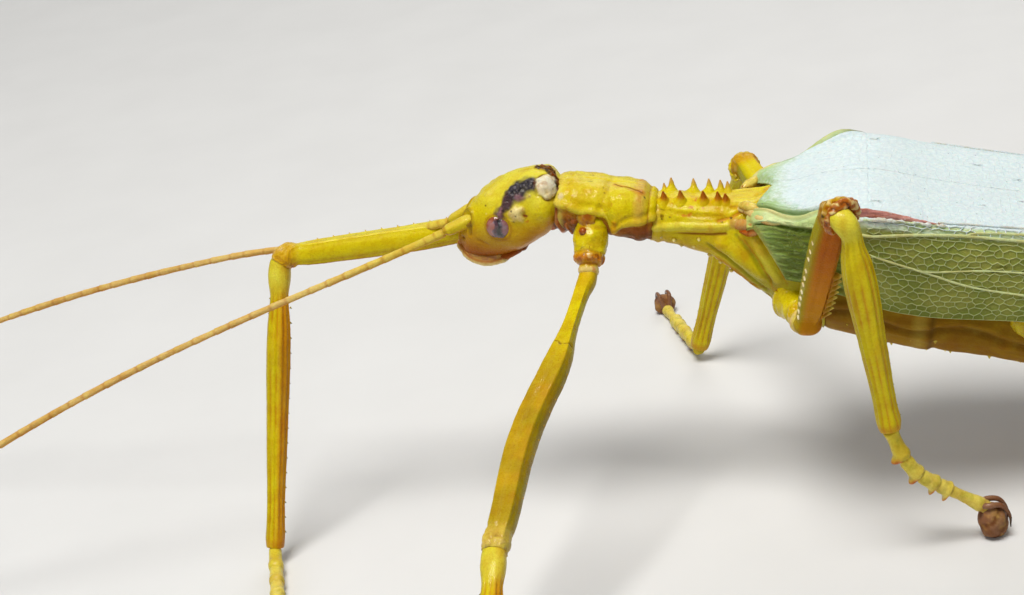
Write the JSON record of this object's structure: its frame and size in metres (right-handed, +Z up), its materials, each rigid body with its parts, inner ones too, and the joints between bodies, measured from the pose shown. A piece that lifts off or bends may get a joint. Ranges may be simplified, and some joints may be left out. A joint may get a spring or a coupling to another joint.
{
  "type": "giant winged stick insect",
  "caption": "Life-size winged stick insect standing on spread legs, with long feelers, a spiny thorax and pale green folded leathery wings.",
  "frame": {"origin": "centre of the whole insect's box at floor level, under the feet", "axes": "+X towards the tail along the body, +Z up from the floor, the head faces -X and the insect's left side faces -Y"},
  "size_m": [0.1585, 0.0961, 0.0269],
  "materials": {
    "head_cuticle": "satin",
    "eye": "gloss",
    "mouth": "satin",
    "forewing": "satin",
    "hindwing": "satin",
    "antenna": "matte",
    "thorax_cuticle": "satin",
    "coxa_cuticle": "satin",
    "leg_cuticle": "satin",
    "foot_cuticle": "satin",
    "abdomen_cuticle": "satin"
  },
  "bodies": {
    "root": {"abdomen_10": "abdomen_cuticle", "abdomen_2": "abdomen_cuticle", "abdomen_3": "abdomen_cuticle", "abdomen_4": "abdomen_cuticle", "abdomen_5": "abdomen_cuticle", "abdomen_6": "abdomen_cuticle", "abdomen_7": "abdomen_cuticle", "abdomen_8": "abdomen_cuticle", "abdomen_9": "abdomen_cuticle", "antenna_left": "antenna", "antenna_right": "antenna", "cercus_left": "abdomen_cuticle", "cercus_right": "abdomen_cuticle", "coxa_front_left": "coxa_cuticle", "coxa_front_right": "coxa_cuticle", "coxa_hind_left": "coxa_cuticle", "coxa_hind_right": "coxa_cuticle", "coxa_mid_left": "coxa_cuticle", "coxa_mid_right": "coxa_cuticle", "eye_left": "eye", "eye_right": "eye", "femur_front_left": "leg_cuticle", "femur_front_right": "leg_cuticle", "femur_hind_left": "leg_cuticle", "femur_hind_right": "leg_cuticle", "femur_mid_left": "leg_cuticle", "femur_mid_right": "leg_cuticle", "head": "head_cuticle", "hindwing_left": "hindwing", "hindwing_right": "hindwing", "jaws": "mouth", "labrum": "mouth", "mesothorax": "thorax_cuticle", "metathorax": "abdomen_cuticle", "neck": "thorax_cuticle", "operculum": "abdomen_cuticle", "palp_left": "mouth", "palp_right": "mouth", "prothorax": "thorax_cuticle", "scape_left": "antenna", "scape_right": "antenna", "tarsus_front_left": "foot_cuticle", "tarsus_front_right": "foot_cuticle", "tarsus_hind_left": "foot_cuticle", "tarsus_hind_right": "foot_cuticle", "tarsus_mid_left": "foot_cuticle", "tarsus_mid_right": "foot_cuticle", "tegmen_left": "forewing", "tegmen_right": "forewing", "tibia_front_left": "leg_cuticle", "tibia_front_right": "leg_cuticle", "tibia_hind_left": "leg_cuticle", "tibia_hind_right": "leg_cuticle", "tibia_mid_left": "leg_cuticle", "tibia_mid_right": "leg_cuticle"}
  },
  "joints": []
}
